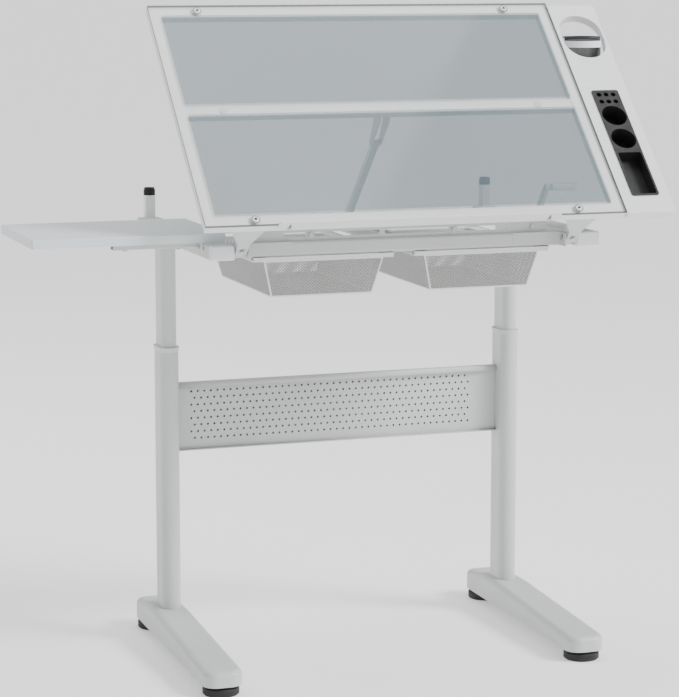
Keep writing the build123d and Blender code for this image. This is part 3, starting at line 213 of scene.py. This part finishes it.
# ---------------------------------------------------------------- mesh tools
def finish_piece(mesh_builder, name, material, body, smooth=False):
    """Turns a bmesh into a piece that rides on a body."""
    bmesh.ops.remove_doubles(mesh_builder, verts=mesh_builder.verts, dist=0.00001)
    bmesh.ops.recalc_face_normals(mesh_builder, faces=mesh_builder.faces)
    mesh = bpy.data.meshes.new(name)
    mesh_builder.to_mesh(mesh)
    mesh_builder.free()
    mesh.materials.append(material)
    piece = bpy.data.objects.new(name, mesh)
    bpy.context.scene.collection.objects.link(piece)
    if smooth:
        mesh.shade_smooth()
        mesh.set_sharp_from_angle(angle=math.radians(35))
    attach(piece, body)
    return piece


def thicken(piece, thickness):
    """Gives a sheet its thickness, half to each side."""
    solid = piece.modifiers.new("thickness", "SOLIDIFY")
    solid.thickness = thickness
    solid.offset = 0.0


def in_mm(*pairs):
    """Pairs of millimetres as pairs of metres."""
    return [(first * MM, second * MM) for first, second in pairs]


def lathe(mesh_builder, profile, place, steps):
    """Turned shape: (radius, height) pairs round the place's z axis."""
    rings = []
    for radius, height in profile:
        if radius == 0:
            rings.append([mesh_builder.verts.new(place @ Vector((0, 0, height)))])
            continue
        ring = []
        for step in range(steps):
            turn = 2 * math.pi * step / steps
            point = Vector((radius * math.cos(turn), radius * math.sin(turn), height))
            ring.append(mesh_builder.verts.new(place @ point))
        rings.append(ring)
    for lower, upper in zip(rings, rings[1:]):
        for step in range(steps):
            after = (step + 1) % steps
            corners = [lower[step % len(lower)], lower[after % len(lower)]]
            corners += [upper[after % len(upper)], upper[step % len(upper)]]
            unique = list(dict.fromkeys(corners))
            if len(unique) > 2:
                mesh_builder.faces.new(unique)


def tube(mesh_builder, points, radius, steps=8):
    """Round bar along a polyline with closed ends."""
    rings = []
    for index, point in enumerate(points):
        before = points[max(index - 1, 0)]
        after = points[min(index + 1, len(points) - 1)]
        along = (after - before).normalized()
        reference = Vector((0, 0, 1)) if abs(along.z) < 0.9 else Vector((0, 1, 0))
        side = along.cross(reference).normalized()
        up = side.cross(along)
        ring = []
        for step in range(steps):
            turn = 2 * math.pi * step / steps
            offset = side * radius * math.cos(turn) + up * radius * math.sin(turn)
            ring.append(mesh_builder.verts.new(point + offset))
        rings.append(ring)
    for lower, upper in zip(rings, rings[1:]):
        for step in range(steps):
            after = (step + 1) % steps
            mesh_builder.faces.new([lower[step], lower[after], upper[after], upper[step]])
    mesh_builder.faces.new(rings[0])
    mesh_builder.faces.new(rings[-1])


def expanded_metal(mesh_builder, surface, columns, rows, opening, closed=False):
    """Diamond openings over a surface given as a function of (u, v) from 0 to 1."""
    known = {}

    def corner(i, j):
        key = (i % columns, j) if closed else (i, j)
        if key not in known:
            known[key] = mesh_builder.verts.new(surface(i / columns, j / rows))
        return known[key]

    for i in range(columns + (0 if closed else 1)):
        for j in range(rows + 1):
            if (i + j) % 2 == 0:
                continue
            around = [(i - 1, j), (i, j - 1), (i + 1, j), (i, j + 1)]
            inside = [(a, b) for a, b in around if 0 <= b <= rows and (closed or 0 <= a <= columns)]
            outer = [corner(a, b) for a, b in inside]
            if len(outer) < 4:
                if len(outer) == 3:
                    mesh_builder.faces.new(outer)
                continue
            middle = surface(i / columns, j / rows)
            inner = [mesh_builder.verts.new(middle.lerp(v.co, opening)) for v in outer]
            for k in range(4):
                after = (k + 1) % 4
                mesh_builder.faces.new([outer[k], outer[after], inner[after], inner[k]])


def quad_surface(low_left, low_right, top_right, top_left):
    """Straight-sided patch between four corners as a function of (u, v)."""

    def surface(u, v):
        return low_left.lerp(low_right, u).lerp(top_left.lerp(top_right, u), v)

    return surface


# ---------------------------------------------------------------- glass board
GLASS_HALF = 450 * MM
GLASS_DEPTH = 600 * MM
GLASS_THICK = 6 * MM
FRAME_COVER = 25 * MM
FRAME_FRONT = 28 * MM
FRAME_REAR = 571 * MM
MIDDLE_RAIL = (293 * MM, 321 * MM)
WINDOWS, BORDER, EDGE = range(3)
CLAMP_ACROSS = (-346 * MM, 346 * MM)
CLAMP_UP = (13 * MM, 584 * MM)
CLAMP_STEPS = 32
SOCKET_SIDES = 6
glass_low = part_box("glass_top")[0]
board_origin = Vector((0, glass_low.y, glass_low.z + GLASS_THICK * math.cos(TILT)))
up_board = Vector((0, math.cos(TILT), math.sin(TILT)))
board_normal = Vector((0, -math.sin(TILT), math.cos(TILT)))


def on_board(x, up, above=0.0):
    """Point on the drawing face from its across, up-board and height values."""
    return board_origin + Vector((x, 0, 0)) + up_board * up + board_normal * above


def glass_board():
    """One closed sheet: windows in the glass's blue-grey tint, darkened further as painted shade of the
    space under the board, clearer strips over the frame, dark edges.
    """
    inner_half = GLASS_HALF - FRAME_COVER
    across = [-GLASS_HALF, -inner_half, inner_half, GLASS_HALF]
    along = [0.0, FRAME_FRONT, *MIDDLE_RAIL, FRAME_REAR, GLASS_DEPTH]
    slab = bmesh.new()
    levels = []
    for height in (0.0, -GLASS_THICK):
        levels.append([[slab.verts.new(on_board(x, up, height)) for up in along] for x in across])
    upper, lower = levels
    for i in range(len(across) - 1):
        for j in range(len(along) - 1):
            window = i == 1 and j in (1, 3)
            for level in levels:
                corners = [level[i][j], level[i + 1][j], level[i + 1][j + 1], level[i][j + 1]]
                slab.faces.new(corners).material_index = WINDOWS if window else BORDER
    last_i = len(across) - 1
    last_j = len(along) - 1
    rim = [(i, 0) for i in range(last_i)] + [(last_i, j) for j in range(last_j)]
    rim += [(i, last_j) for i in range(last_i, 0, -1)] + [(0, j) for j in range(last_j, 0, -1)]
    for (i, j), (next_i, next_j) in zip(rim, rim[1:] + rim[:1]):
        corners = [upper[i][j], upper[next_i][next_j], lower[next_i][next_j], lower[i][j]]
        slab.faces.new(corners).material_index = EDGE
    piece = finish_piece(slab, "glass_sheet", looks["glass"], "board")
    piece.data.materials.append(glass_border)
    piece.data.materials.append(glass_edge)
    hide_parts("glass_top")


def glass_bolt_heads():
    """Low round clamp heads: a vinyl ring, a white dome with its shank, and a flat near-black hexagon on
    the dome that stands for the socket, its darkness painted shade of the socket hole.
    """
    ring_profile = in_mm((0, 0.05), (9.6, 0.05), (9.6, 0.5), (0, 0.5))
    shank_profile = in_mm((0, -7.5), (2.6, -7.5), (2.6, 0.3))
    dome_profile = shank_profile + in_mm((6.6, 0.3), (6.3, 1.3), (4.8, 1.9), (3.6, 2.0), (0, 2.0))
    socket_profile = in_mm((0, 1.9), (3.6, 1.9), (3.5, 2.15), (0, 2.15))
    ring = bmesh.new()
    dome = bmesh.new()
    socket = bmesh.new()
    for x in CLAMP_ACROSS:
        for up in CLAMP_UP:
            place = Matrix.Translation(on_board(x, up)) @ Matrix.Rotation(TILT, 4, "X")
            lathe(ring, ring_profile, place, CLAMP_STEPS)
            lathe(dome, dome_profile, place, CLAMP_STEPS)
            # flat hexagon on the dome top instead of a socket hole, near-black as painted shade
            lathe(socket, socket_profile, place, SOCKET_SIDES)
    finish_piece(ring, "clamp_rings", ring_vinyl, "board", True)
    domes = finish_piece(dome, "clamp_domes", looks["white_plastic"], "board", True)
    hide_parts("glass_bolts")
    finish_piece(socket, "clamp_sockets", socket_steel_painted_shade, "board", True)


glass_board()
glass_bolt_heads()

# ---------------------------------------------------------------- mesh drawers
CELL_WIDTH = 7.6 * MM
CELL_HEIGHT = 6.2 * MM
WALL_OPENING = 0.64
BASE_OPENING = 0.66
TAPER_X = 19 * MM
TAPER_Y = 15 * MM
NET_THICK = 1.0 * MM
BASE_SEAM = 2.0 * MM
CORNER_SEAM = 1.8 * MM
TOP_SEAM = 1.6 * MM


def half_cells(length, cell):
    """Number of half cells along a length, always even."""
    return 2 * round(length / cell)


def rectangle(left, right, front, rear, z):
    """Corners of a level rectangle, anticlockwise from the front left."""
    return [Vector((x, y, z)) for x, y in ((left, front), (right, front), (right, rear), (left, rear))]


def mesh_basket(side):
    """Expanded-metal tub with a wire along each seam, in place of the plain CAD tub."""
    node = f"drawer_{side}_basket"
    low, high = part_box(node)
    top = rectangle(low.x, high.x, low.y, high.y, high.z)
    floor = rectangle(low.x + TAPER_X, high.x - TAPER_X, low.y + TAPER_Y, high.y - TAPER_Y, low.z + MM)
    net = bmesh.new()
    for k in range(4):
        after = (k + 1) % 4
        wall = quad_surface(floor[k], floor[after], top[after], top[k])
        columns = half_cells((top[after] - top[k]).length, CELL_WIDTH)
        rows = half_cells((top[k] - floor[k]).length, CELL_HEIGHT)
        expanded_metal(net, wall, columns, rows, WALL_OPENING)
    base = quad_surface(*floor)
    columns = half_cells((floor[1] - floor[0]).length, CELL_WIDTH)
    rows = half_cells((floor[2] - floor[1]).length, CELL_WIDTH)
    expanded_metal(net, base, columns, rows, BASE_OPENING)
    # The net gets the grey enamel with painted shade; the seams keep the white enamel.
    piece = finish_piece(net, f"basket_net_{side}", net_coat_painted_shade, f"drawer_{side}")
    thicken(piece, NET_THICK)
    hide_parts(node)
    seams = bmesh.new()
    for k in range(4):
        after = (k + 1) % 4
        tube(seams, [floor[k], floor[after]], BASE_SEAM)
        tube(seams, [floor[k], top[k]], CORNER_SEAM)
        tube(seams, [top[k], top[after]], TOP_SEAM)
    finish_piece(seams, f"basket_seams_{side}", looks["white_wire"], f"drawer_{side}", True)


for drawer_side in ("left", "right"):
    mesh_basket(drawer_side)


# ---------------------------------------------------------------- pencil cup
CUP_TAPER = 8 * MM
CUP_BAND = 8 * MM
CUP_COLUMNS = 96
CUP_ROWS = 34
CUP_OPENING = 0.45
CUP_SHEET = 0.8 * MM
CUP_STEPS = 64
RIM_RADIUS = 1.4 * MM
RIM_DROP = 1.5 * MM


def mesh_cup():
    """Black mesh cup with a rolled rim, a band under it and a solid foot."""
    low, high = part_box("pencil_cup")
    centre = (low + high) / 2
    top_radius = (high.x - low.x) / 2 - 0.5 * MM
    foot_radius = top_radius - CUP_TAPER
    height = high.z - low.z

    def radius_at(z):
        return foot_radius + CUP_TAPER * z / height

    def wall(u, v):
        turn = 2 * math.pi * u
        z = CUP_BAND + v * (height - 1.5 * CUP_BAND)
        radius = radius_at(z)
        return Vector((centre.x + radius * math.cos(turn), centre.y + radius * math.sin(turn), low.z + z))

    net = bmesh.new()
    expanded_metal(net, wall, CUP_COLUMNS, CUP_ROWS, CUP_OPENING, True)
    piece = finish_piece(net, "cup_net", looks["black_mesh"], "pencil_cup")
    thicken(piece, CUP_SHEET)
    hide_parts("pencil_cup")
    solid = bmesh.new()
    place = Matrix.Translation(Vector((centre.x, centre.y, low.z)))
    foot_top = CUP_BAND * 1.05
    foot = [
        (0, 0.4 * MM),
        (foot_radius - 1 * MM, 0),
        (foot_radius + 0.3 * MM, 1 * MM),
        (radius_at(foot_top) + 0.4 * MM, foot_top),
        (radius_at(foot_top) - 0.8 * MM, foot_top),
        (foot_radius - 1.2 * MM, 1.6 * MM),
        (0, 1.6 * MM),
    ]
    lathe(solid, foot, place, CUP_STEPS)
    rim_z = height - RIM_DROP
    rim = []
    for turn in (math.radians(30 * k) for k in range(13)):
        rim_radius = top_radius - 0.9 * MM + RIM_RADIUS * math.cos(turn)
        rim.append((rim_radius, rim_z + RIM_RADIUS * math.sin(turn)))
    lathe(solid, rim, place, CUP_STEPS)
    band_low = height - CUP_BAND * 0.55
    band = [
        (radius_at(band_low) - 0.4 * MM, band_low),
        (radius_at(band_low) + 0.4 * MM, band_low),
        (top_radius, rim_z),
        (top_radius - 1.0 * MM, rim_z),
        (radius_at(band_low) - 0.4 * MM, band_low),
    ]
    lathe(solid, band, place, CUP_STEPS)
    finish_piece(solid, "cup_rim_and_foot", looks["black_mesh"], "pencil_cup", True)


mesh_cup()


# ---------------------------------------------------------------- modesty panel
HOLE_RADIUS = 2.4 * MM
HOLE_PITCH = 14.9 * MM
ROW_PITCH = 14.8 * MM
HOLE_ROWS = 8
HOLES_PER_ROW = 44
HOLES_LEFT = -340 * MM
FIRST_ROW_DROP = 20.8 * MM
CIRCLE_STEPS = 16
SHEET = 1.5 * MM
FRONT_SKIN = 8.0 * MM
FOLD = 2 * MM
UPPER_LIP = 11 * MM
LOWER_FOLD = 3 * MM
LOWER_LIP = 4 * MM


def perforated_skin(low, high, y):
    """Flat sheet with rows of staggered round holes."""
    sheet = bmesh.new()

    def vertex(x, z):
        return sheet.verts.new((x, y, z))

    row_edges = []
    half = HOLE_PITCH / 2
    for row in range(HOLE_ROWS):
        shift = half if row % 2 else 0.0
        centre_z = high.z - FIRST_ROW_DROP - row * ROW_PITCH
        top_z = centre_z + ROW_PITCH / 2
        low_z = centre_z - ROW_PITCH / 2
        left = HOLES_LEFT + shift - half
        for column in range(HOLES_PER_ROW):
            centre_x = HOLES_LEFT + shift + column * HOLE_PITCH
            # points round the cell, each with the step of the circle that it faces
            outer = [
                (vertex(centre_x + half, top_z), 2),
                (vertex(centre_x, top_z), 4),
                (vertex(centre_x - half, top_z), 6),
                (vertex(centre_x - half, low_z), 10),
                (vertex(centre_x, low_z), 12),
                (vertex(centre_x + half, low_z), 14),
            ]
            circle = [
                vertex(
                    centre_x + HOLE_RADIUS * math.cos(2 * math.pi * k / CIRCLE_STEPS),
                    centre_z + HOLE_RADIUS * math.sin(2 * math.pi * k / CIRCLE_STEPS),
                )
                for k in range(CIRCLE_STEPS)
            ]
            for k, (point, start) in enumerate(outer):
                after, stop = outer[(k + 1) % len(outer)]
                last = stop if stop > start else stop + CIRCLE_STEPS
                arc = [circle[i % CIRCLE_STEPS] for i in range(last, start - 1, -1)]
                sheet.faces.new([point, after] + arc)
        row_edges.append((left, left + HOLES_PER_ROW * HOLE_PITCH, top_z, low_z))
    for left, right, top_z, low_z in row_edges:
        for x0, x1 in ((low.x, left), (right, high.x)):
            sheet.faces.new([vertex(x0, low_z), vertex(x1, low_z), vertex(x1, top_z), vertex(x0, top_z)])
    steps = 2 * HOLES_PER_ROW
    first_left, first_right, first_top, _ = row_edges[0]
    last_left, last_right, _, last_low = row_edges[-1]
    margins = ((first_left, first_right, first_top, high.z), (last_left, last_right, last_low, low.z))
    for left, right, edge_z, far_z in margins:
        along = [vertex(left + (right - left) * k / steps, edge_z) for k in range(steps + 1)]
        start = [vertex(low.x, far_z), vertex(low.x, edge_z)]
        sheet.faces.new(start + along + [vertex(high.x, edge_z), vertex(high.x, far_z)])
    piece = finish_piece(sheet, "perforated_skin", looks["frame_paint"], "base")
    thicken(piece, SHEET)
    return piece


def modesty_panel():
    """Double-skinned tray: perforated front, plain rear and folded edges."""
    low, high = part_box("modesty_panel")
    front = low.y
    rear = high.y - SHEET / 2
    skin = perforated_skin(low, high, front + FRONT_SKIN + SHEET / 2)
    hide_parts("modesty_panel")
    folds = bmesh.new()
    bend = front + FOLD
    base_z = low.z + SHEET
    upper_fold = ((rear, high.z), (bend, high.z), (front, high.z - FOLD), (front, high.z - UPPER_LIP))
    lower_fold = ((rear, base_z), (bend, base_z), (front, low.z + LOWER_FOLD), (front, low.z + LOWER_LIP))
    rear_skin = ((rear, high.z), (rear, base_z))
    for profile in (upper_fold, lower_fold, rear_skin):
        ends = []
        for x in (low.x, high.x):
            ends.append([folds.verts.new((x, y, z - SHEET / 2)) for y, z in profile])
        for k in range(len(profile) - 1):
            folds.faces.new([ends[0][k], ends[0][k + 1], ends[1][k + 1], ends[1][k]])
    folded = finish_piece(folds, "panel_folds", looks["frame_paint"], "base", True)
    thicken(folded, SHEET)


modesty_panel()

# ---------------------------------------------------------------- floor, light, camera
FLOOR_HALF = 100.0
LOOK_DOWN = 9.0
LOOK_RIGHT = 18.96

floor_material, floor_tree, floor_shader, floor_coords = start_material("studio floor")
floor_tone = noise(floor_tree, floor_coords, 1.5, 2)
floor_color = tint(floor_tree, floor_tone, (0.86, 0.86, 0.86), (0.88, 0.88, 0.88))
floor_tree.links.new(floor_color, floor_shader.inputs["Base Color"])
floor_shader.inputs["Roughness"].default_value = 0.8
floor_shader.inputs["Emission Color"].default_value = (1.0, 1.0, 1.0, 1.0)
floor_shader.inputs["Emission Strength"].default_value = 0.4
floor_mesh = bpy.data.meshes.new("floor")
floor_corners = rectangle(-FLOOR_HALF, FLOOR_HALF, -FLOOR_HALF, FLOOR_HALF, 0)
floor_mesh.from_pydata(floor_corners, [], [(0, 1, 2, 3)])
floor_mesh.materials.append(floor_material)
floor = bpy.data.objects.new("floor", floor_mesh)
bpy.context.scene.collection.objects.link(floor)

world = bpy.data.worlds.new("studio")
world.use_nodes = True
world.node_tree.nodes["Background"].inputs["Color"].default_value = (1.0, 1.0, 1.0, 1)
world.node_tree.nodes["Background"].inputs["Strength"].default_value = 0.6
bpy.context.scene.world = world


def soft_light(name, place, target, size, power):
    """Large square softbox aimed at a point."""
    data = bpy.data.lights.new(name, "AREA")
    data.shape = "SQUARE"
    data.size = size
    data.energy = power
    light = bpy.data.objects.new(name, data)
    light.location = place
    direction = Vector(target) - Vector(place)
    light.rotation_euler = direction.to_track_quat("-Z", "Y").to_euler()
    bpy.context.scene.collection.objects.link(light)


def sun_light(name, place, strength, angle):
    """Distant light with a wide disc, shining from a place towards the centre."""
    data = bpy.data.lights.new(name, "SUN")
    data.energy = strength
    data.angle = math.radians(angle)
    light = bpy.data.objects.new(name, data)
    light.rotation_euler = (-Vector(place)).to_track_quat("-Z", "Y").to_euler()
    bpy.context.scene.collection.objects.link(light)


sun_light("sun", (1.9, -1.3, 1.9), 2.8, 20)
soft_light("key", (3.4, -3.2, 3.6), (0, 0, 0.9), 2.2, 110)
soft_light("top", (0.2, 0.4, 4.2), (0, 0, 0.6), 2.6, 60)
soft_light("back", (-2.6, 3.4, 2.6), (0, 0, 0.9), 2.0, 60)

camera_data = bpy.data.cameras.new("camera")
camera_data.sensor_fit = "HORIZONTAL"
camera_data.sensor_width = 36
camera_data.lens = 130.98
camera = bpy.data.objects.new("camera", camera_data)
camera.location = (-1.7557, -5.1106, 1.4841)
camera.rotation_euler = (math.radians(90 - LOOK_DOWN), 0, math.radians(-LOOK_RIGHT))
bpy.context.scene.collection.objects.link(camera)
bpy.context.scene.camera = camera
